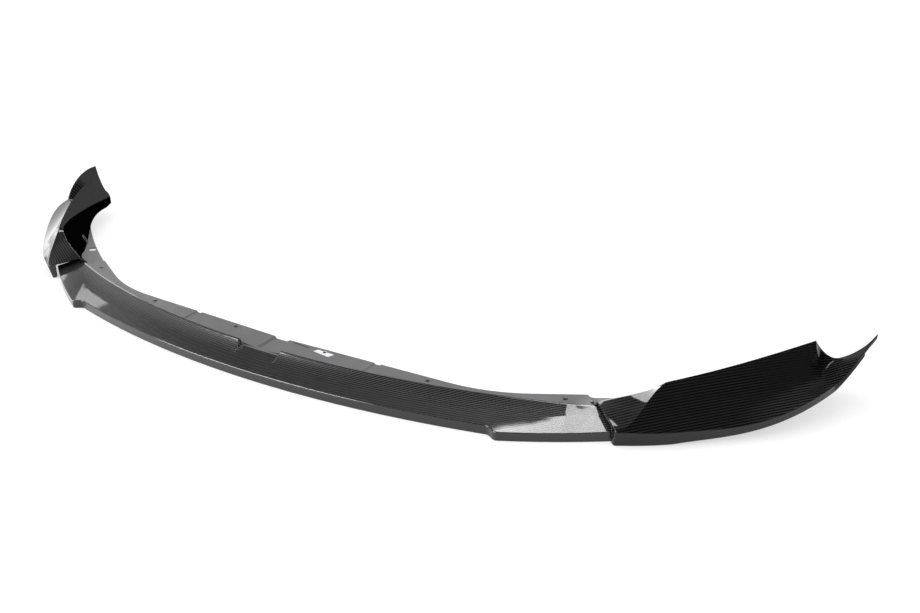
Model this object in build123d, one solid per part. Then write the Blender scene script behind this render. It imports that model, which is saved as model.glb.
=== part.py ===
"""Front splitter lip: a wide centre piece and two upswept corner pieces.

Frame: millimetres, +X across the car, +Y towards the wheels, +Z up.
The lip is mirror-symmetric about X = 0 and stands on Z = 0.
While it is drawn, Y = 0 lies on the inner pair of flange holes.
Each finished piece is then moved so that the origin is at the bottom centre of the whole lip.
"""
from build123d import *
from math import cos, radians, sin, sqrt, tan
from typing import NamedTuple
import os

# Overall sizes
OVERALL_WIDTH = 1860.0
CORNER_SPAN = 340.0
WALL = 3.0

# Plan of the centre piece
FRONT_REACH = 108.5
FRONT_SAG = 55.5
STEP_INSET = 135.0
STEP_RUN = 22.0
STEP_OUT = 8.0
WING_BULGE = 6.0
WING_END_BACK = 65.0
WING_END_OUT = 63.0
RIDGE_REACH = 53.0
RIDGE_SAG = 113.0
FLANGE_REAR = 8.0
FLANGE_BEND_INSET = 173.0
FLANGE_BEND_Y = 17.6
FLANGE_BEND_RADIUS = 300.0

# Heights of the centre piece
BLADE_HEIGHT = 16.0
SHELF_DEPTH = 28.0
SHELF_SLOPE = 4.1
WING_SHELF_SHARE = 0.81
WING_SLOPE = 15.6
RIDGE_HEIGHT_MIDDLE = 36.0
RIDGE_HEIGHT_END = 33.0
RIDGE_WIDTH = 3.0
RIDGE_FALL = 5.0
FLANGE_HEIGHT_MIDDLE = 24.5
FLANGE_HEIGHT_END = 30.0

# Holes and reliefs of the flange
HOLE_DIAMETER = 8.0
BOSS_DEPTH = 10.0
INNER_HOLE_X = 102.7
MIDDLE_HOLE_X = 313.0
MIDDLE_HOLE_Y = 3.5
OUTER_HOLE_INSET = 56.0
OUTER_HOLE_Y = 62.5
RECESS_WIDTH = 94.0
RECESS_DRAFT = 4.0
FLUTE_X = 206.0
FLUTE_WIDTH = 14.0
FLUTE_DEPTH = 2.5
MIDDLE_FLUTE_WIDTH = 34.0
MIDDLE_FLUTE_DEPTH = 4.0
FLUTE_START = 4.0
FLUTE_SLOPE = 45.0

# Seam between the centre piece and a corner piece
SEAM_Y = 58.0
SEAM_ANGLE = 40.8
SEAM_GAP = 0.4
SEAM_LAP = 25.0
RIDGE_END_OUT = -4.0
LAP_END_OUT = 9.0

# Mounting strip, bonded under the flange, which steps down at the seam and runs on behind the corner piece
STRIP_ROOT = 24.0
STRIP_START_BACK = 6.5
STRIP_START_OUT = -46.7
STRIP_MIDDLE_BACK = 134.0
STRIP_MIDDLE_OUT = -6.0
STRIP_TIP_BACK = 265.0
STRIP_TIP_OUT = 24.0
STRIP_TIP_WIDTH = 10.0
STRIP_SIDE_BACK = 40.0
STRIP_SIDE_OUT = 14.0
STRIP_ROOT_WIDTH = 30.0
STRIP_ROOT_OUT = -50.0
STRIP_HEIGHT = 24.0
JOGGLE_RUN = 9.0
STRIP_HOLE_WIDTH = 14.0
STRIP_HOLE_LENGTH = 18.0
STRIP_HOLE_BACK = 97.0
STRIP_HOLE_OUT = -6.5
BOND_GAP = 0.2

# Rear end of the corner piece, an upright cut from the notch to the tip
NOTCH_BACK = 427.0
NOTCH_OUT = 7.0
TIP_BACK = 481.0
TIP_OUT = 34.0
WEB_INNER = 52.5
CORNER_RADIUS = 6.0
RIM_END_BACK = 436.0
RIM_END_SHIFT = 4.0

# Spring clip in the inner wall of the corner piece
CLIP_BACK = 140.0
CLIP_HEIGHT = 33.0
CLIP_LENGTH = 15.0
CLIP_WIDTH = 18.0
CLIP_THICKNESS = 2.0
CLIP_SLOT_LENGTH = 6.0
CLIP_SLOT_WIDTH = 9.0
CLIP_RIM = 2.5
CLIP_SEAT = 0.3

# Sections of the top surface on each side of the middle
ROOF_SPANS = 12

# Room for the cutting bodies to run past the piece
SPILL = 40.0
DEEP = 20.0
TALL = 150.0

UPWARDS = (Align.CENTER, Align.CENTER, Align.MIN)
HALF_WIDTH = OVERALL_WIDTH / 2
SEAM_X = HALF_WIDTH - CORNER_SPAN
STEP_X = SEAM_X - STEP_INSET


def sag_curve(x, sag, half_chord):
    """Depth of a shallow circular arc at x, for an arc that drops by sag at half_chord."""
    radius = (half_chord ** 2 + sag ** 2) / (2 * sag)
    return radius - sqrt(radius ** 2 - x ** 2)


def front_y(x):
    return -FRONT_REACH + sag_curve(x, FRONT_SAG, STEP_X)


def ridge_y(x):
    return -RIDGE_REACH + sag_curve(x, RIDGE_SAG, SEAM_X)


def blend(x, before, end, start=0.0):
    """Straight change of a size along the lip, which begins at start and ends at the seam."""
    part = (abs(x) - start) / (SEAM_X - start)
    return before + (end - before) * min(max(part, 0), 1)


def flange_z(x):
    return blend(x, FLANGE_HEIGHT_MIDDLE, FLANGE_HEIGHT_END)


# Local X runs out along the seam, local Y runs back from it and local Z runs up
SEAM = Plane(origin=(SEAM_X, SEAM_Y, 0), x_dir=(cos(radians(SEAM_ANGLE)), -sin(radians(SEAM_ANGLE)), 0))


def seam_point(back, out, height=0.0):
    """A point by its distance behind the seam and its distance out along it."""
    return SEAM.from_local_coords(Vector(out, back, height))


def seam_section(back):
    """Upright section plane: local X runs out along the seam and local Y runs up."""
    return Plane(origin=seam_point(back, 0), x_dir=SEAM.x_dir, z_dir=-SEAM.y_dir)


def seam_prism(corners):
    """Tall prism on a plan outline whose corners are given as (out, back)."""
    with BuildSketch(SEAM.offset(-DEEP)) as sketch:
        Polygon(*corners, align=None)
    return extrude(sketch.sketch, TALL)


# Front edge of the wing, from behind its step to its lap under the corner piece
WING_START = Vector(STEP_X + STEP_RUN, front_y(STEP_X) - STEP_OUT)
WING_END = seam_point(WING_END_BACK, WING_END_OUT)


def shelf_z(x, y):
    """Height of the shelf, which turns up about the front edge of the wing as it nears the seam."""
    run = WING_END - WING_START
    edge = WING_START.Y + (abs(x) - WING_START.X) * run.Y / run.X
    slope = tan(radians(blend(x, SHELF_SLOPE, WING_SLOPE, WING_START.X)))
    return BLADE_HEIGHT + (edge - front_y(x)) * tan(radians(SHELF_SLOPE)) + (y - edge) * slope


def both_sides(shape):
    return shape + mirror(shape, about=Plane.YZ)


# Centre piece

def roof(drop):
    """Everything under the top surface of the centre piece, lowered by drop."""
    sections = []
    far = HALF_WIDTH - 2 * SPILL
    for index in range(-ROOF_SPANS, ROOF_SPANS + 1):
        x = far * index / ROOF_SPANS
        front = front_y(x)
        ridge = ridge_y(x)
        ridge_z = blend(x, RIDGE_HEIGHT_MIDDLE, RIDGE_HEIGHT_END) - drop
        foot = ridge + RIDGE_WIDTH + RIDGE_FALL
        rear = HALF_WIDTH / 2
        crease = front + blend(x, SHELF_DEPTH, WING_SHELF_SHARE * (ridge - front), WING_START.X)
        lead = front - SPILL
        start = (lead, shelf_z(x, lead) - drop)
        plane = Plane(origin=(x, 0, 0), x_dir=(0, 1, 0), z_dir=(1, 0, 0))
        with BuildSketch(plane) as section:
            with BuildLine():
                shelf = Line(start, (crease, shelf_z(x, crease) - drop))
                TangentArc(shelf @ 1, (ridge, ridge_z), tangent=shelf % 1)
                Polyline(
                    (ridge, ridge_z),
                    (ridge + RIDGE_WIDTH, ridge_z),
                    (foot, flange_z(x) - drop),
                    (rear, flange_z(x) - drop),
                    (rear, -2 * DEEP),
                    (lead, -2 * DEEP),
                    start,
                )
            make_face()
        sections.append(section.sketch)
    return loft(sections)


def plan(base, setback, spill):
    """Outline of the centre piece seen from above, as a tall prism that starts at base.

    The front edges move back by setback, and all the other edges move out by spill.
    """
    shift = Vector(0, setback)
    inner_end = Vector(STEP_X, front_y(STEP_X)) + shift
    wing_start = WING_START + shift
    wing_end = WING_END + shift
    chord = wing_end - wing_start
    bulge = Vector(chord.Y, -chord.X).normalized() * WING_BULGE
    flange_end = seam_point(STRIP_START_BACK, STRIP_START_OUT - spill)
    bend = Vector(SEAM_X - FLANGE_BEND_INSET, FLANGE_BEND_Y + spill)
    middle_rear = Vector(0, FLANGE_REAR + spill)
    middle_front = Vector(0, -FRONT_REACH) + shift
    with BuildSketch() as sketch:
        with BuildLine():
            ThreePointArc(middle_front, Vector(STEP_X / 2, front_y(STEP_X / 2)) + shift, inner_end)
            Spline(inner_end, wing_start, tangents=((1, 0), (1, 0)))
            ThreePointArc(wing_start, (wing_start + wing_end) / 2 + bulge, wing_end)
            Line(wing_end, flange_end)
            FilletPolyline(flange_end, bend, middle_rear, radius=FLANGE_BEND_RADIUS)
            Line(middle_rear, middle_front)
        make_face()
        mirror(about=Plane.YZ)
    return extrude(Plane.XY.offset(base) * sketch.sketch, TALL)


def recess(drop):
    """Shallow tray across the ridge at the middle, from the back of the shelf to the flange."""
    crease = -FRONT_REACH + SHELF_DEPTH
    front = Vector(0, crease, shelf_z(0, crease) - drop)
    back = Vector(0, -RIDGE_REACH + RIDGE_WIDTH + RIDGE_FALL, FLANGE_HEIGHT_MIDDLE - drop)
    run = back - front
    half = RECESS_WIDTH / 2 - RECESS_DRAFT + drop
    top = half + 4 * RECESS_DRAFT
    plane = Plane(origin=front, x_dir=(1, 0, 0), z_dir=run.normalized())
    with BuildSketch(plane) as sketch:
        Polygon((-half, 0), (half, 0), (top, -2 * DEEP), (-top, -2 * DEEP), align=None)
    return extrude(sketch.sketch, run.length)


def flute(x, width, depth, drop):
    """Shallow channel across the flange, from just behind the ridge to the rear edge."""
    start = ridge_y(x) + RIDGE_WIDTH + RIDGE_FALL + FLUTE_START
    floor = flange_z(x) - depth - drop
    half = width / 2 - depth + drop * tan(radians(FLUTE_SLOPE / 2))
    rise = depth + DEEP
    top = half + rise / tan(radians(FLUTE_SLOPE))
    plane = Plane(origin=(x, start, floor), x_dir=(1, 0, 0), z_dir=(0, 1, 0))
    with BuildSketch(plane) as sketch:
        Polygon((-half, 0), (half, 0), (top, -rise), (-top, -rise), align=None)
    return extrude(sketch.sketch, HALF_WIDTH / 4)


def reliefs(drop):
    """All that is pressed into the top surface of the centre piece."""
    cuts = [recess(drop), flute(0, MIDDLE_FLUTE_WIDTH, MIDDLE_FLUTE_DEPTH, drop)]
    cuts += [flute(side * FLUTE_X, FLUTE_WIDTH, FLUTE_DEPTH, drop) for side in (-1, 1)]
    return cuts


def end_cut():
    """Removes the blade past its lap under the corner piece, and the ridge and the flange past the seam."""
    far = CORNER_SPAN
    corners = (
        (-far, STRIP_START_BACK),
        (STRIP_START_OUT / 2, STRIP_START_BACK),
        (STRIP_START_OUT / 2, -SEAM_GAP),
        (RIDGE_END_OUT, -SEAM_GAP),
        (LAP_END_OUT, SEAM_LAP),
        (far, SEAM_LAP),
        (far, far),
        (-far, far),
    )
    return seam_prism(corners)


def hole_seats():
    """Seats of the flange holes on both halves, each at the bottom of its boss."""
    places = (
        (INNER_HOLE_X, 0),
        (MIDDLE_HOLE_X, MIDDLE_HOLE_Y),
        (SEAM_X - OUTER_HOLE_INSET, OUTER_HOLE_Y),
    )
    return [Pos(side * x, y, flange_z(x) - BOSS_DEPTH) for x, y in places for side in (-1, 1)]


def centre_splitter():
    outer = (roof(0) & plan(0, 0, 0)) - reliefs(0)
    void = (roof(WALL) & plan(-DEEP, WALL, SPILL)) - reliefs(WALL)
    shell = outer - void - both_sides(end_cut())
    boss = Cylinder(HOLE_DIAMETER / 2 + WALL, BOSS_DEPTH - WALL / 2, align=UPWARDS)
    hole = Pos(0, 0, WALL) * Cylinder(HOLE_DIAMETER / 2, TALL, align=UPWARDS)
    seats = hole_seats()
    return shell + [seat * boss for seat in seats] - [seat * hole for seat in seats]


# Mounting strip

STRIP_ROOT_BACK = STRIP_START_BACK - STRIP_ROOT
STRIP_ROOT_HEIGHT = flange_z(seam_point(STRIP_ROOT_BACK, STRIP_ROOT_OUT).X) - WALL - BOND_GAP


def mounting_strip():
    """Joggled strip that starts under the flange and tapers out along the foot of the corner piece."""
    top = (
        (STRIP_ROOT_BACK, STRIP_ROOT_HEIGHT),
        (STRIP_START_BACK, STRIP_ROOT_HEIGHT),
        (STRIP_START_BACK + JOGGLE_RUN, STRIP_HEIGHT),
        (STRIP_TIP_BACK, STRIP_HEIGHT),
    )
    bottom = [(back, height - WALL) for back, height in reversed(top)]
    side_plane = Plane(origin=seam_point(0, -TALL), x_dir=SEAM.y_dir, z_dir=SEAM.x_dir)
    with BuildSketch(side_plane) as profile:
        Polygon(*top, *bottom, align=None)
    root = (STRIP_ROOT_OUT, STRIP_ROOT_BACK)
    start = (STRIP_START_OUT, STRIP_START_BACK)
    tip = (STRIP_TIP_OUT, STRIP_TIP_BACK)
    with BuildSketch(SEAM.offset(-DEEP)) as outline:
        with BuildLine():
            Line(root, start)
            ThreePointArc(start, (STRIP_MIDDLE_OUT, STRIP_MIDDLE_BACK), tip)
            Polyline(
                tip,
                (STRIP_TIP_OUT + STRIP_TIP_WIDTH, STRIP_TIP_BACK),
                (STRIP_SIDE_OUT, STRIP_SIDE_BACK),
                (STRIP_ROOT_OUT + STRIP_ROOT_WIDTH, STRIP_ROOT_BACK),
                root,
            )
        make_face()
    hole = SEAM * Pos(STRIP_HOLE_OUT, STRIP_HOLE_BACK) * Box(STRIP_HOLE_WIDTH, STRIP_HOLE_LENGTH, TALL)
    return (extrude(profile.sketch, 2 * TALL) & extrude(outline.sketch, TALL)) - hole


# Corner piece

class Station(NamedTuple):
    """One section of a corner piece, each point as (out along the seam, height)."""
    back: float
    rim: tuple
    edge: tuple
    hollow: tuple
    crest: tuple
    fold: tuple
    foot: tuple


FOOT = STRIP_HEIGHT + SEAM_GAP
APEX = Station(88, (88.5, 2), (94, 25.5), (68, 51.5), (49.5, 88.5), (43.5, 83), (8.5, FOOT))
CREST_END = Station(368, (88, 43), (88, 56), (50, 44), (27, 105), (3, 52), (2, FOOT + 6))
FACET_STATIONS = (
    Station(0, (61, 0), (67, 26), (65.2, 27.5), (63.5, 29), (0, 43), (-19, FOOT)),
    Station(20, (68.5, 0.2), (74, 25.6), (71, 30), (68, 36), (16, 55), (-6, FOOT)),
    Station(45, (77, 0.6), (83, 25.5), (70.5, 39), (62, 56), (31, 66), (6, FOOT)),
    APEX,
)
CREST_STATIONS = (
    APEX,
    Station(150, (101, 7.5), (105.5, 26), (73, 51), (50, 93), (41, 79), (12, FOOT)),
    Station(220, (110, 15), (113, 30.5), (73, 49), (47, 98), (32, 71), (18, FOOT + 2)),
    Station(290, (109.5, 29.5), (111, 44), (68, 49), (39.5, 102), (19.5, 63), (20, FOOT + 5)),
    CREST_END,
)
TAIL_STATIONS = (
    CREST_END,
    Station(400, (80, 64), (80, 77), (23, 47), (15, 72), (-3, 48), (-4, FOOT + 6)),
    Station(430, (67, 80.5), (67, 93), (30, 67), (6, 53), (-9, 45), (-10, FOOT + 6)),
    Station(490, (28, 92), (28, 102.5), (2, 72), (-18, 53), (-30, 44), (-31, FOOT + 6)),
)


def inset(points, distance):
    """The same closed polygon, listed counter-clockwise, with every side moved in by distance."""
    moved = []
    for index, point in enumerate(points):
        before = Vector(*points[index - 1])
        here = Vector(*point)
        after = Vector(*points[(index + 1) % len(points)])
        normal_in = (here - before).normalized().rotate(Axis.Z, 90)
        normal_out = (after - here).normalized().rotate(Axis.Z, 90)
        bisector = (normal_in + normal_out).normalized()
        reach = distance / bisector.dot(normal_in)
        moved.append(here + bisector * reach)
    return moved


def run_on(top, bottom):
    """The end of a side that starts at top and runs on past bottom, well under the piece."""
    side = bottom - top
    return bottom + side * (2 * DEEP / abs(side.Y))


def corner_section(station, thickness):
    """Outline of a corner piece at one station, moved in by thickness and open at the bottom."""
    points = list(station[1:])
    if thickness:
        points = inset(points, thickness)
        points[0] = run_on(points[1], points[0])
        points[-1] = run_on(points[-2], points[-1])
    rim, edge, hollow, crest, fold, foot = [Vector(*point) for point in points]
    with BuildSketch(seam_section(station.back)) as section:
        with BuildLine():
            Line(rim, edge)
            Bezier(edge, hollow, hollow, crest)
            Polyline(crest, fold, foot, rim)
        make_face()
    return section.sketch


def corner_bodies(thickness):
    """The three lengths of a corner piece, which meet at the apex and at the end of the crest."""
    lengths = (FACET_STATIONS, CREST_STATIONS, TAIL_STATIONS)
    return [loft([corner_section(station, thickness) for station in stations]) for stations in lengths]


def rear_cut():
    """Removes what lies behind the upright plane through the notch and the tip."""
    notch = Vector(NOTCH_OUT, NOTCH_BACK)
    tip = Vector(TIP_OUT, TIP_BACK)
    along = (tip - notch).normalized() * TALL
    behind = along.rotate(Axis.Z, 90)
    corners = (notch - along, tip + along, tip + along + behind, notch - along + behind)
    return seam_prism([(corner.X, corner.Y) for corner in corners])


def seat_cut(end, height):
    """Trims the inner wall as far back as end, to stand at height on the flange or on the strip."""
    room = Box(TALL, end + DEEP, TALL, align=(Align.MAX, Align.MAX, Align.MAX))
    return SEAM * Pos(WEB_INNER - WALL, end, height) * room


def rim_end(tail_void):
    """Thins the upright rim to the edge of the sheet, from the rim's end to the tip."""
    room = Box(TALL, TALL, 2 * TALL, align=(Align.CENTER, Align.MIN, Align.CENTER))
    moved = Pos(SEAM.x_dir * RIM_END_SHIFT) * tail_void
    return moved & (SEAM * Pos(0, RIM_END_BACK) * room)


def corner_shell():
    bodies = corner_bodies(0)
    voids = corner_bodies(WALL)
    nose = seam_point(0, WEB_INNER + CORNER_RADIUS, BLADE_HEIGHT)
    bodies[0] = fillet(bodies[0].edges().sort_by_distance(nose)[0], CORNER_RADIUS)
    web_frame = SEAM * Pos(WEB_INNER, 0)
    web = bodies[0] & (web_frame * Box(TALL, WALL, TALL, align=(Align.MIN, Align.MIN, Align.CENTER)))
    shell = web
    for body, void in zip(bodies, voids):
        shell += body - void
    shell -= rear_cut() + rim_end(voids[-1])
    shell -= seat_cut(STRIP_START_BACK, FLANGE_HEIGHT_END + SEAM_GAP)
    shell -= seat_cut(STRIP_START_BACK + JOGGLE_RUN, STRIP_ROOT_HEIGHT + SEAM_GAP)
    return shell - seat_cut(STRIP_TIP_BACK + JOGGLE_RUN, FOOT)


def clip_plane(shell):
    """Seat of the spring clip: on the inner wall, with local X along the wall and Z away from it."""
    probe = seam_point(CLIP_BACK, -TALL, CLIP_HEIGHT)
    hits = shell.find_intersection_points(Axis(probe, SEAM.x_dir))
    seat, normal = min(hits, key=lambda hit: (hit[0] - probe).length)
    return Plane(origin=seat, x_dir=SEAM.y_dir, z_dir=normal)


def spring_clip(seat):
    """Square clip with a slot: its rim lies on the wall and its body goes through the wall."""
    length = CLIP_LENGTH - 2 * CLIP_RIM
    width = CLIP_WIDTH - 2 * CLIP_RIM
    rim = Box(CLIP_LENGTH, CLIP_WIDTH, CLIP_THICKNESS, align=UPWARDS)
    body = Box(length, width, 2 * WALL, align=(Align.CENTER, Align.CENTER, Align.MAX))
    slot = Box(CLIP_SLOT_LENGTH, CLIP_SLOT_WIDTH, TALL)
    return seat.offset(CLIP_SEAT) * (rim + body - slot)


def clip_hole(seat):
    length = CLIP_LENGTH - 2 * CLIP_RIM + 2 * CLIP_SEAT
    width = CLIP_WIDTH - 2 * CLIP_RIM + 2 * CLIP_SEAT
    return seat * Box(length, width, 4 * WALL)


def main():
    os.makedirs("parts", exist_ok=True)
    shell = corner_shell()
    seat = clip_plane(shell)
    right_corner = shell - clip_hole(seat)
    right_clip = spring_clip(seat)
    right_strip = mounting_strip()
    nodes = {
        "centre_splitter": centre_splitter(),
        "right_corner": right_corner,
        "left_corner": mirror(right_corner, about=Plane.YZ),
        "right_strip": right_strip,
        "left_strip": mirror(right_strip, about=Plane.YZ),
        "right_clip": right_clip,
        "left_clip": mirror(right_clip, about=Plane.YZ),
    }
    middle = (seam_point(TIP_BACK, TIP_OUT).Y - FRONT_REACH) / 2
    for name, shape in nodes.items():
        export_step(Pos(0, -middle, 0) * shape, os.path.join("parts", name + ".step"))


main()
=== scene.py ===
"""Looks of the front splitter lip: woven carbon under clear coat, a satin flange and dull inner walls."""
from math import cos, hypot, pi, radians, sin

import bmesh
import bpy
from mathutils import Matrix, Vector


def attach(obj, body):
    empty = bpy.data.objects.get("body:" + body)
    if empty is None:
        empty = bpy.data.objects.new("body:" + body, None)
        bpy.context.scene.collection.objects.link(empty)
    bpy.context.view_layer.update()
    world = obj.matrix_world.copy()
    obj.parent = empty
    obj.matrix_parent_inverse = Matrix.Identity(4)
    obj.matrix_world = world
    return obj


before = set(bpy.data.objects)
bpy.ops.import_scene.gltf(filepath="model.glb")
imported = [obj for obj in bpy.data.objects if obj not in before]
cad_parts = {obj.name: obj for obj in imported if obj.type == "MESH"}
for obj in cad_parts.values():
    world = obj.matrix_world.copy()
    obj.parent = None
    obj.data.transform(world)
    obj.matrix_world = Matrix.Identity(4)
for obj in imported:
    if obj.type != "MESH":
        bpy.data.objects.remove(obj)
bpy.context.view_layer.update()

# Places in the part, in metres; the origin lies MIDDLE behind the inner flange holes
MIDDLE = 0.145699
SEAM_X = 0.590
SEAM_Y = 0.058 - MIDDLE
SEAM_ANGLE = radians(40.8)
RIDGE_Y = -0.053 - MIDDLE
RIDGE_CURVE = 0.3246
RIDGE_TOP = 0.0035
RIDGE_BLEND = 0.001
WINGLET_ROOT = (0.35, 0.39)

# Height of the fold in the inner wall of a corner piece, by distance behind the seam
FOLD_LINE = (
    (0.0, 0.043), (0.020, 0.055), (0.045, 0.066), (0.088, 0.083), (0.150, 0.079),
    (0.220, 0.071), (0.290, 0.063), (0.368, 0.052), (0.430, 0.045),
)
FOLD_REACH = 0.45
FOLD_TOP = 0.10
FOLD_BLEND = 0.0006

# Ranges of the surface's direction over which one finish gives way to another
CENTRE_UNDER = (-0.2, -0.05)
CENTRE_UPRIGHT = (0.2, 0.4)
CORNER_UNDER = (-0.35, -0.25)
CORNER_UPRIGHT = (0.1, 0.3)
RIM_OUTWARD = (0.4, 0.6)
HOLLOW_OUTWARD = (0.3, 0.6)
WALL_INWARD = (-0.5, -0.4)

# Woven cloth; the tows on top carry a painted sheen in their base colour
CENTRE_TOW = 0.0018
CORNER_TOW = 0.0015
TOW_HEIGHT = 0.00008
TOW_HALF = 0.5
TOW_SHOULDER = 0.25
TOW_EDGE_SHINE = 0.55
TWILL_REPEAT = 4.0
TWILL_ON_TOP = 1.5
HOLLOW_SLOPE = radians(50)
CORNER_CLOTH_TURN = radians(45)

# Clear coat
EDGE_RADIUS = 0.0025
EDGE_SAMPLES = 8
WAVE_SCALE = 18.0
CENTRE_WAVE = 0.00020
CORNER_WAVE = 0.00006
PRINT_THROUGH = 0.000007
COAT_ROUGHNESS = 0.03
COAT_IOR = 1.5
RIM_COAT = 0.75
WINGLET_COAT = 0.3

# Greys; a pair runs from the darkest to the lightest
BLUE_SHARE = 1.02
# Centre twill: dark tows, and tows on top made lighter by a painted sheen
CENTRE_CLOTH_AND_SHEEN = (0.002, 0.052)
CENTRE_EDGE = 0.010
CENTRE_UNDERSIDE = 0.010
FLANGE_GREY = (0.125, 0.175)
STRIP_GREY = (0.13, 0.17)
# Painted shade of the scored line on the flange
GROOVE_SHADE_GREY = 0.03
CORNER_CLOTH_DARK = 0.0008
# Corner tows on top: painted sheen, lighter on the facet than in the hollow
FACET_FIBRE_SHEEN = 0.030
HOLLOW_FIBRE_SHEEN = 0.015
RIM_GREY = 0.006
BAND_GREY = (0.030, 0.055)
WALL_BLACK = 0.0012
CLIP_GREY = (0.02, 0.05)
PAPER_WHITE = (0.62, 0.80)

# Clouding of the greys: scale and detail of the noise, and the range of it that sets the roughness
FLANGE_CLOUD = (14.0, 3.0)
SATIN_GRAIN = (900.0, 1.0)
BAND_CLOUD = (260.0, 2.0)
CLIP_CLOUD = (400.0, 2.0)
PAPER_CLOUD = (120.0, 3.0)
CLOUD_RANGE = (0.2, 0.8)

# Roughness and mirror strength under the coat
CLOTH_ROUGHNESS = 0.40
SATIN_ROUGHNESS = (0.42, 0.52)
WALL_ROUGHNESS = 0.60
CLIP_ROUGHNESS = (0.35, 0.5)
CLIP_METALLIC = 0.6
PAPER_ROUGHNESS = 0.6
SATIN_SPECULAR = 0.12
CORNER_SPECULAR = 0.0
PAPER_SPECULAR = 0.2

# Scored line on the flange, shown only as a painted shade line
GROOVE = ((0.0278, 0.0047 - MIDDLE), (0.0671, 0.0007 - MIDDLE))
GROOVE_WIDTH = 0.0032
GROOVE_FLOOR = 0.3
GROOVE_SIDE = 0.5
GROOVE_END = 0.001

# Label
LABEL_CORNERS = (
    (0.0823, -0.0069 - MIDDLE),
    (0.1185, -0.0113 - MIDDLE),
    (0.1223, 0.0007 - MIDDLE),
    (0.0868, 0.0026 - MIDDLE),
)
LABEL_HOLE = (0.1027, -MIDDLE)
LABEL_HOLE_RADIUS = 0.0036
LABEL_HOLE_POINTS = 20
LABEL_LEVEL = 0.0262
LABEL_THICKNESS = 0.0004

# Camera
SENSOR_WIDTH = 36.0
LENS = 39.09
CAMERA_PLACE = (1.10395, -1.20493 - MIDDLE, 0.81319)
CAMERA_TILT = radians(65.69)
CAMERA_TURN = radians(31.10)

# Floor, which glows a little so that shadows stay pale
FLOOR_HALF = 15.0
FLOOR_DROP = 0.0005
FLOOR_GREY = 0.45
FLOOR_GLOW = 0.60
FLOOR_ROUGHNESS = 0.9

# Soft box at the back of the room: left edge, two points on the slanting right edge, low and near limits
BOX_LEFT_HEADING = 30.5
BOX_RIGHT_HIGH = (12.5, 62)
BOX_RIGHT_LOW = (22, 48)
BOX_EDGE_BLUR = 0.01
BOX_LOW = (0.62, 0.66)
BOX_NEAR = (0.0, 0.05)
BOX_BRIGHTNESS = 10.0
ROOM_BRIGHTNESS = 0.05

# Cards that the clear coat mirrors
CARD_GREY = 0.0
CARD_ROUGHNESS = 0.5

WHITE = (1.0, 1.0, 1.0, 1.0)


class Graph:
    """Short calls for shader nodes."""

    def __init__(self, owner):
        self.tree = owner.node_tree
        self.nodes = self.tree.nodes

    def put(self, socket, value):
        if isinstance(value, bpy.types.NodeSocket):
            self.tree.links.new(value, socket)
        else:
            socket.default_value = value

    def math(self, operation, a, b=0.0):
        node = self.nodes.new("ShaderNodeMath")
        node.operation = operation
        self.put(node.inputs[0], a)
        self.put(node.inputs[1], b)
        return node.outputs[0]

    def add(self, *terms):
        total = terms[0]
        for term in terms[1:]:
            total = self.math("ADD", total, term)
        return total

    def minus(self, a, b):
        return self.math("SUBTRACT", a, b)

    def times(self, *terms):
        total = terms[0]
        for term in terms[1:]:
            total = self.math("MULTIPLY", total, term)
        return total

    def most(self, a, b):
        return self.math("MAXIMUM", a, b)

    def dot(self, axes, vector):
        """Sum of the axes, each times one number; an axis with the number 0 is left out."""
        return self.add(*[self.times(axis, number) for axis, number in zip(axes, vector) if number])

    def step(self, value, low, high, to_low=0.0, to_high=1.0):
        """Smooth change from to_low to to_high while the value goes from low to high."""
        node = self.nodes.new("ShaderNodeMapRange")
        node.interpolation_type = "SMOOTHSTEP"
        self.put(node.inputs["Value"], value)
        node.inputs["From Min"].default_value = low
        node.inputs["From Max"].default_value = high
        node.inputs["To Min"].default_value = to_low
        node.inputs["To Max"].default_value = to_high
        return node.outputs["Result"]

    def fade(self, value, low, high):
        """Smooth change from 1 to 0 while the value goes from low to high."""
        return self.step(value, low, high, 1.0, 0.0)

    def blend(self, factor, a, b):
        node = self.nodes.new("ShaderNodeMix")
        self.put(node.inputs["Factor"], factor)
        self.put(node.inputs[2], a)
        self.put(node.inputs[3], b)
        return node.outputs[0]

    def tint(self, factor, a, b):
        node = self.nodes.new("ShaderNodeMix")
        node.data_type = "RGBA"
        self.put(node.inputs["Factor"], factor)
        self.put(node.inputs[6], a)
        self.put(node.inputs[7], b)
        return node.outputs[2]

    def noise(self, vector, scale, detail):
        node = self.nodes.new("ShaderNodeTexNoise")
        self.put(node.inputs["Vector"], vector)
        node.inputs["Scale"].default_value = scale
        node.inputs["Detail"].default_value = detail
        return node.outputs["Fac"]

    def bump(self, height, distance, normal):
        node = self.nodes.new("ShaderNodeBump")
        node.inputs["Distance"].default_value = distance
        self.put(node.inputs["Height"], height)
        self.put(node.inputs["Normal"], normal)
        return node.outputs[0]

    def rounded(self, radius):
        """Normals of edges rounded by a radius."""
        node = self.nodes.new("ShaderNodeBevel")
        node.samples = EDGE_SAMPLES
        node.inputs["Radius"].default_value = radius
        return node.outputs[0]

    def split(self, vector):
        node = self.nodes.new("ShaderNodeSeparateXYZ")
        self.put(node.inputs[0], vector)
        return node.outputs

    def facing(self):
        """Direction of the surface, by axis."""
        return self.split(self.nodes.new("ShaderNodeNewGeometry").outputs["Normal"])

    def curve(self, value, points):
        """Straight lines through points, for a value from 0 to 1."""
        node = self.nodes.new("ShaderNodeFloatCurve")
        line = node.mapping.curves[0]
        line.points[0].location = points[0]
        line.points[1].location = points[-1]
        for point in points[1:-1]:
            line.points.new(*point)
        for point in line.points:
            point.handle_type = "VECTOR"
        node.mapping.update()
        self.put(node.inputs["Value"], value)
        return node.outputs[0]


# Materials

def grey(value):
    return (value, value, value * BLUE_SHARE, 1.0)


def new_material(name):
    """A material with its graph, its shader and the place on the part."""
    material = bpy.data.materials.new(name)
    material.use_nodes = True
    graph = Graph(material)
    shader = graph.nodes["Principled BSDF"]
    place = graph.nodes.new("ShaderNodeTexCoord").outputs["Object"]
    return material, graph, shader, place


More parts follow.
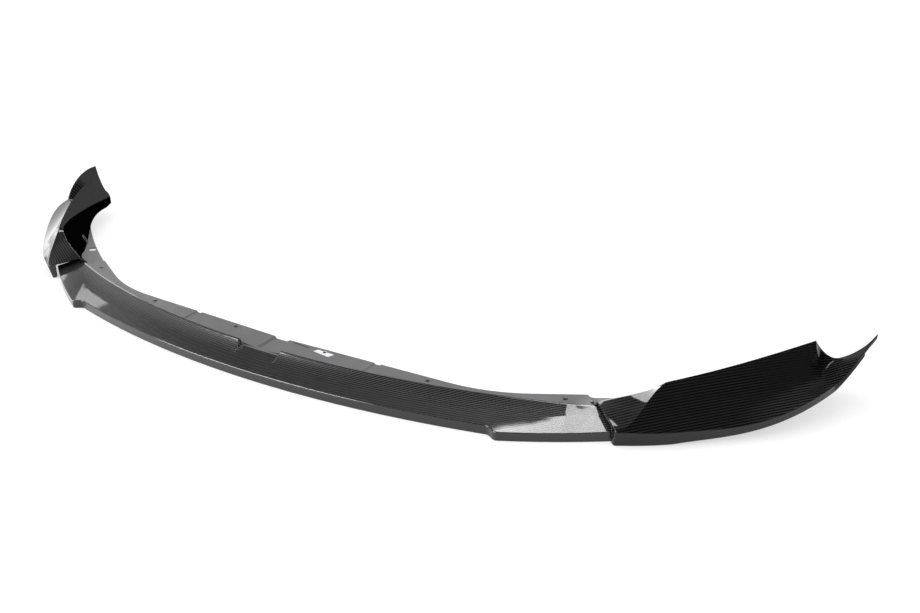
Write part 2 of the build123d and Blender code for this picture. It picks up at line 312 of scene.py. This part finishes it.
def clouded(graph, place, cloud, greys):
    """Grey that drifts between two tones."""
    dark, light = greys
    return graph.tint(graph.noise(place, *cloud), grey(dark), grey(light))


def satin(graph, place):
    """Roughness of the satin grey surfaces."""
    return graph.step(graph.noise(place, *SATIN_GRAIN), *CLOUD_RANGE, *SATIN_ROUGHNESS)


def twill(graph, along, across, tow):
    """Two-by-two twill: the painted sheen of the first set of tows where they lie on top, and the height of
    all.
    """
    a = graph.math("DIVIDE", along, tow)
    b = graph.math("DIVIDE", across, tow)
    count = graph.minus(graph.math("FLOOR", a), graph.math("FLOOR", b))
    top = graph.math("LESS_THAN", graph.math("FLOORED_MODULO", count, TWILL_REPEAT), TWILL_ON_TOP)
    first = graph.math("PINGPONG", a, TOW_HALF)
    second = graph.math("PINGPONG", b, TOW_HALF)
    height = graph.blend(top, first, second)
    painted_sheen = graph.times(top, graph.step(height, 0.0, TOW_SHOULDER, TOW_EDGE_SHINE, 1.0))
    return painted_sheen, height


def clear_coat(graph, shader, place, height, weight, wave):
    """Clear coat over the cloth: rounded edges, long waves and the cloth faintly showing in its surface."""
    edges = graph.rounded(EDGE_RADIUS)
    waves = graph.times(graph.noise(place, WAVE_SCALE, 1.0), wave)
    surface = graph.add(waves, graph.times(height, PRINT_THROUGH))
    graph.put(shader.inputs["Coat Normal"], graph.bump(surface, 1.0, edges))
    graph.put(shader.inputs["Normal"], graph.bump(height, TOW_HEIGHT, edges))
    graph.put(shader.inputs["Coat Weight"], weight)
    shader.inputs["Coat Roughness"].default_value = COAT_ROUGHNESS
    shader.inputs["Coat IOR"].default_value = COAT_IOR


def groove_shade(graph, x, y):
    """Painted shade of a scored line on the right half of the flange, as a dark line with no cut."""
    (start_x, start_y), (end_x, end_y) = GROOVE
    length = hypot(end_x - start_x, end_y - start_y)
    line = ((end_x - start_x) / length, (end_y - start_y) / length)
    from_start = (graph.minus(x, start_x), graph.minus(y, start_y))
    run = graph.dot(from_start, line)
    offset = graph.math("ABSOLUTE", graph.dot(from_start, (-line[1], line[0])))
    inside = graph.fade(offset, GROOVE_WIDTH * GROOVE_FLOOR, GROOVE_WIDTH * GROOVE_SIDE)
    ends = graph.times(graph.step(run, 0.0, GROOVE_END), graph.fade(run, length - GROOVE_END, length))
    return graph.times(inside, ends)


def centre_finish():
    """Coated twill in front of the ridge, and a satin grey flange behind it."""
    material, graph, shader, place = new_material("carbon_centre")
    x, y, z = graph.split(place)
    upward = graph.facing()[2]
    painted_sheen, height = twill(graph, x, graph.add(y, z), CENTRE_TOW)
    ridge = graph.add(graph.times(x, x, RIDGE_CURVE), RIDGE_Y + RIDGE_TOP)
    behind = graph.step(graph.minus(y, ridge), 0.0, RIDGE_BLEND)
    under = graph.fade(upward, *CENTRE_UNDER)
    upright = graph.fade(graph.math("ABSOLUTE", upward), *CENTRE_UPRIGHT)
    dark, light = CENTRE_CLOTH_AND_SHEEN
    # Painted sheen: the tows on top get the lighter grey
    cloth = graph.tint(painted_sheen, grey(dark), grey(light))
    front = graph.tint(upright, cloth, grey(CENTRE_EDGE))
    flange = clouded(graph, place, FLANGE_CLOUD, FLANGE_GREY)
    # Painted shade along the scored line
    flange = graph.tint(groove_shade(graph, x, y), flange, grey(GROOVE_SHADE_GREY))
    tone = graph.tint(behind, front, flange)
    graph.put(shader.inputs["Base Color"], graph.tint(under, tone, grey(CENTRE_UNDERSIDE)))
    dull = graph.most(behind, under)
    graph.put(shader.inputs["Roughness"], graph.blend(dull, CLOTH_ROUGHNESS, satin(graph, place)))
    shader.inputs["Specular IOR Level"].default_value = SATIN_SPECULAR
    clear_coat(graph, shader, place, height, graph.minus(1.0, dull), CENTRE_WAVE)
    return material


def corner_finish():
    """Coated twill outside, a grey band inside the crest and a black wall under the fold."""
    material, graph, shader, place = new_material("carbon_corner")
    x, y, z = graph.split(place)
    facing = graph.facing()
    backward_axis = (sin(SEAM_ANGLE), cos(SEAM_ANGLE))
    outward_axis = (cos(SEAM_ANGLE), -sin(SEAM_ANGLE))
    from_seam = (graph.minus(graph.math("ABSOLUTE", x), SEAM_X), graph.minus(y, SEAM_Y))
    back = graph.dot(from_seam, backward_axis)
    out = graph.dot(from_seam, outward_axis)
    sideways = graph.times(facing[0], graph.math("SIGN", x))
    outward = graph.dot((sideways, facing[1]), outward_axis)

    rise = graph.dot((out, z), (-cos(HOLLOW_SLOPE), sin(HOLLOW_SLOPE)))
    warp = graph.dot((back, rise), (cos(CORNER_CLOTH_TURN), cos(CORNER_CLOTH_TURN)))
    weft = graph.dot((back, rise), (cos(CORNER_CLOTH_TURN), -cos(CORNER_CLOTH_TURN)))
    painted_sheen, height = twill(graph, warp, weft, CORNER_TOW)

    points = [(reach / FOLD_REACH, level / FOLD_TOP) for reach, level in FOLD_LINE]
    fold = graph.times(graph.curve(graph.math("DIVIDE", back, FOLD_REACH), points), FOLD_TOP)
    inward = graph.fade(outward, *WALL_INWARD)
    low = graph.fade(graph.minus(z, fold), -FOLD_BLEND, FOLD_BLEND)
    under = graph.fade(facing[2], *CORNER_UNDER)
    black = graph.most(graph.times(inward, low), under)
    dull = graph.most(inward, under)
    upright = graph.times(graph.fade(facing[2], *CORNER_UPRIGHT), graph.step(outward, *RIM_OUTWARD))

    # Painted sheen: the tows on top are lighter on the facet than in the hollow, chosen by the way the
    # surface faces
    hollow = graph.step(outward, *HOLLOW_OUTWARD)
    fibre_sheen = graph.tint(hollow, grey(FACET_FIBRE_SHEEN), grey(HOLLOW_FIBRE_SHEEN))
    cloth = graph.tint(painted_sheen, grey(CORNER_CLOTH_DARK), fibre_sheen)
    outside = graph.tint(upright, cloth, grey(RIM_GREY))
    tone = graph.tint(inward, outside, clouded(graph, place, BAND_CLOUD, BAND_GREY))
    graph.put(shader.inputs["Base Color"], graph.tint(black, tone, grey(WALL_BLACK)))
    graph.put(shader.inputs["Roughness"], graph.blend(dull, CLOTH_ROUGHNESS, WALL_ROUGHNESS))
    shader.inputs["Specular IOR Level"].default_value = CORNER_SPECULAR

    winglet = graph.step(back, *WINGLET_ROOT, 1.0, WINGLET_COAT)
    rim = graph.step(upright, 0.0, 1.0, 1.0, RIM_COAT)
    weight = graph.times(winglet, rim, graph.minus(1.0, dull))
    clear_coat(graph, shader, place, height, weight, CORNER_WAVE)
    return material


def strip_finish():
    """Satin grey, as on the flange."""
    material, graph, shader, place = new_material("carbon_strip")
    graph.put(shader.inputs["Base Color"], clouded(graph, place, FLANGE_CLOUD, STRIP_GREY))
    graph.put(shader.inputs["Roughness"], satin(graph, place))
    shader.inputs["Specular IOR Level"].default_value = SATIN_SPECULAR
    return material


def clip_finish():
    """Dark spring steel."""
    material, graph, shader, place = new_material("clip_steel")
    cloud = graph.noise(place, *CLIP_CLOUD)
    dark, light = CLIP_GREY
    graph.put(shader.inputs["Base Color"], graph.tint(cloud, grey(dark), grey(light)))
    graph.put(shader.inputs["Roughness"], graph.step(cloud, *CLOUD_RANGE, *CLIP_ROUGHNESS))
    shader.inputs["Metallic"].default_value = CLIP_METALLIC
    return material


def label_finish():
    """Matt white paper."""
    material, graph, shader, place = new_material("paper")
    graph.put(shader.inputs["Base Color"], clouded(graph, place, PAPER_CLOUD, PAPER_WHITE))
    shader.inputs["Roughness"].default_value = PAPER_ROUGHNESS
    shader.inputs["Specular IOR Level"].default_value = PAPER_SPECULAR
    return material


# Pieces

def add_object(name, data):
    """New object in the scene."""
    thing = bpy.data.objects.new(name, data)
    bpy.context.collection.objects.link(thing)
    return thing


def bare_label():
    """Blank paper label round one flange hole."""
    shape = bmesh.new()
    outer = [shape.verts.new((x, y, LABEL_LEVEL)) for x, y in LABEL_CORNERS]
    angles = [2 * pi * i / LABEL_HOLE_POINTS for i in range(LABEL_HOLE_POINTS)]
    hole_x, hole_y = LABEL_HOLE
    inner = []
    for angle in angles:
        x = hole_x + LABEL_HOLE_RADIUS * cos(angle)
        y = hole_y + LABEL_HOLE_RADIUS * sin(angle)
        inner.append(shape.verts.new((x, y, LABEL_LEVEL)))
    edges = []
    for loop in (outer, inner):
        for start, end in zip(loop, loop[1:] + loop[:1]):
            edges.append(shape.edges.new((start, end)))
    bmesh.ops.triangle_fill(shape, edges=edges, use_beauty=True, normal=(0, 0, 1))
    bmesh.ops.solidify(shape, geom=shape.faces[:], thickness=LABEL_THICKNESS)
    bmesh.ops.recalc_face_normals(shape, faces=shape.faces[:])
    mesh = bpy.data.meshes.new("bare_label")
    shape.to_mesh(mesh)
    shape.free()
    mesh.materials.append(label_finish())
    label = add_object("bare_label", mesh)
    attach(label, "root")


def assign(node, material):
    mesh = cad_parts[node].data
    mesh.materials.clear()
    mesh.materials.append(material)


# Studio

def towards(heading, elevation):
    """Direction by degrees to the left of straight back and degrees above the floor."""
    h = radians(heading)
    e = radians(elevation)
    return (-sin(h) * cos(e), cos(h) * cos(e), sin(e))


def place_camera():
    data = bpy.data.cameras.new("camera")
    data.sensor_width = SENSOR_WIDTH
    data.sensor_fit = "HORIZONTAL"
    data.lens = LENS
    camera = add_object("camera", data)
    camera.location = CAMERA_PLACE
    camera.rotation_euler = (CAMERA_TILT, 0.0, CAMERA_TURN)
    bpy.context.scene.camera = camera


def glowing(name, value, roughness, strength):
    """Plain grey material with a white glow, and no mirror."""
    material = bpy.data.materials.new(name)
    material.use_nodes = True
    shader = material.node_tree.nodes["Principled BSDF"]
    shader.inputs["Base Color"].default_value = (value, value, value, 1.0)
    shader.inputs["Roughness"].default_value = roughness
    shader.inputs["Specular IOR Level"].default_value = 0.0
    shader.inputs["Emission Color"].default_value = WHITE
    shader.inputs["Emission Strength"].default_value = strength
    return material


def flat_sheet(name, corners, material):
    mesh = bpy.data.meshes.new(name)
    mesh.from_pydata(corners, [], [(0, 1, 2, 3)])
    mesh.materials.append(material)
    return add_object(name, mesh)


def lay_floor():
    material = glowing("floor", FLOOR_GREY, FLOOR_ROUGHNESS, FLOOR_GLOW)
    signs = ((-1, -1), (1, -1), (1, 1), (-1, 1))
    floor = flat_sheet("floor", [(a * FLOOR_HALF, b * FLOOR_HALF, 0) for a, b in signs], material)
    floor.location = (0, 0, -FLOOR_DROP)


def card(name, x, y_range, z_range, brightness):
    """White card across the width of the room that is only seen mirrored in the clear coat."""
    (near, far), (low, high) = y_range, z_range
    material = glowing(name, CARD_GREY, CARD_ROUGHNESS, brightness)
    plane = flat_sheet(name, [(x, near, low), (x, far, low), (x, far, high), (x, near, high)], material)
    plane.visible_camera = False
    plane.visible_diffuse = False
    plane.visible_shadow = False


def soft_light(name, heading, elevation, spread, strength):
    """Even light from a wide patch of the ceiling, which isn't mirrored in the part."""
    data = bpy.data.lights.new(name, "SUN")
    data.angle = radians(spread)
    data.energy = strength
    lamp = add_object(name, data)
    lamp.rotation_euler = Vector(towards(heading, elevation)).to_track_quat("Z", "Y").to_euler()
    lamp.visible_glossy = False


def soft_box(graph, axes):
    """Tall bright panel high at the back of the room."""
    right_edge = Vector(towards(*BOX_RIGHT_HIGH)).cross(Vector(towards(*BOX_RIGHT_LOW))).normalized()
    left_edge = towards(BOX_LEFT_HEADING - 90, 0)
    left = graph.step(graph.dot(axes, left_edge), -BOX_EDGE_BLUR, BOX_EDGE_BLUR)
    right = graph.step(graph.dot(axes, right_edge), -BOX_EDGE_BLUR, BOX_EDGE_BLUR)
    low = graph.step(axes[2], *BOX_LOW)
    near = graph.step(axes[1], *BOX_NEAR)
    return graph.times(left, right, low, near, BOX_BRIGHTNESS)


def glow(graph, axes, heading, elevation, reach, brightness):
    """Round glow in one direction of the room, which grows from its rim inwards over a range of cosines."""
    return graph.step(graph.dot(axes, towards(heading, elevation)), *reach, 0.0, brightness)


def build_room():
    """Dark room with a tall soft box at the back, a pale left side and a lamp low at the front."""
    world = bpy.data.worlds.new("studio")
    bpy.context.scene.world = world
    world.use_nodes = True
    world.cycles_visibility.diffuse = False
    graph = Graph(world)
    axes = graph.split(graph.nodes.new("ShaderNodeTexCoord").outputs["Generated"])
    left = glow(graph, axes, heading=110, elevation=0, reach=(0.40, 0.95), brightness=0.9)
    over = glow(graph, axes, heading=130, elevation=60, reach=(0.78, 0.93), brightness=0.15)
    front = glow(graph, axes, heading=143, elevation=10, reach=(0.940, 0.955), brightness=25.0)
    light = graph.add(soft_box(graph, axes), graph.most(left, over), front, ROOM_BRIGHTNESS)
    seen = graph.nodes.new("ShaderNodeLightPath").outputs["Is Camera Ray"]
    background = graph.nodes["Background"]
    graph.put(background.inputs["Strength"], graph.blend(seen, light, 1.0))
    background.inputs["Color"].default_value = WHITE


assign("centre_splitter", centre_finish())
for piece, material in (("corner", corner_finish()), ("strip", strip_finish()), ("clip", clip_finish())):
    for hand in ("right", "left"):
        assign(hand + "_" + piece, material)
bare_label()

place_camera()
lay_floor()
build_room()
soft_light("ceiling", heading=0, elevation=90, spread=150, strength=3.2)
soft_light("key", heading=100, elevation=62, spread=70, strength=0.9)
card("left_card", x=-1.15, y_range=(0.0, 0.7), z_range=(0.0, 0.27), brightness=2.4)
card("left_top_card", x=-1.15, y_range=(0.22, 0.7), z_range=(0.27, 0.46), brightness=2.4)
card("facet_card", x=0.54, y_range=(-0.10, 0.12), z_range=(0.07, 0.27), brightness=9.0)

bpy.context.scene.view_settings.view_transform = "Standard"
